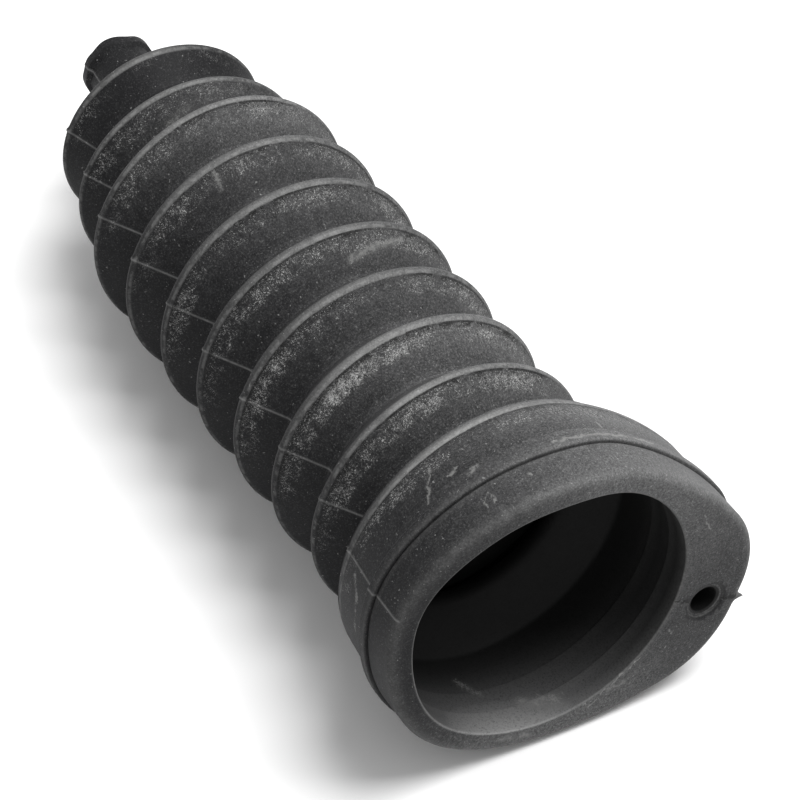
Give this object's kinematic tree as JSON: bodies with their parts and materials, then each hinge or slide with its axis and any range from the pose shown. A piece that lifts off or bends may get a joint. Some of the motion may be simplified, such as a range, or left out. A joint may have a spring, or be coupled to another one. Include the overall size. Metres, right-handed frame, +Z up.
{
  "type": "rubber bellows boot",
  "caption": "Moulded rubber bellows boot: a wide eared mouth flange, a ribbed concertina body and a small beaded spout, lying on its side.",
  "frame": {"origin": "on the mouth bore's axis, at the middle of the bore's first land", "axes": "+Z up as it lies at rest, +X from the wide mouth to the small spout, -Y on the side of the ear; the boot's own axis drops 2.3 degrees towards +X"},
  "size_m": [0.1645, 0.0687, 0.0592],
  "materials": {
    "rubber": "matte charcoal moulded rubber, fine grain, chalky bloom and scuffs on the crests"
  },
  "bodies": {
    "root": {"bellows_boot": "rubber"}
  },
  "joints": []
}
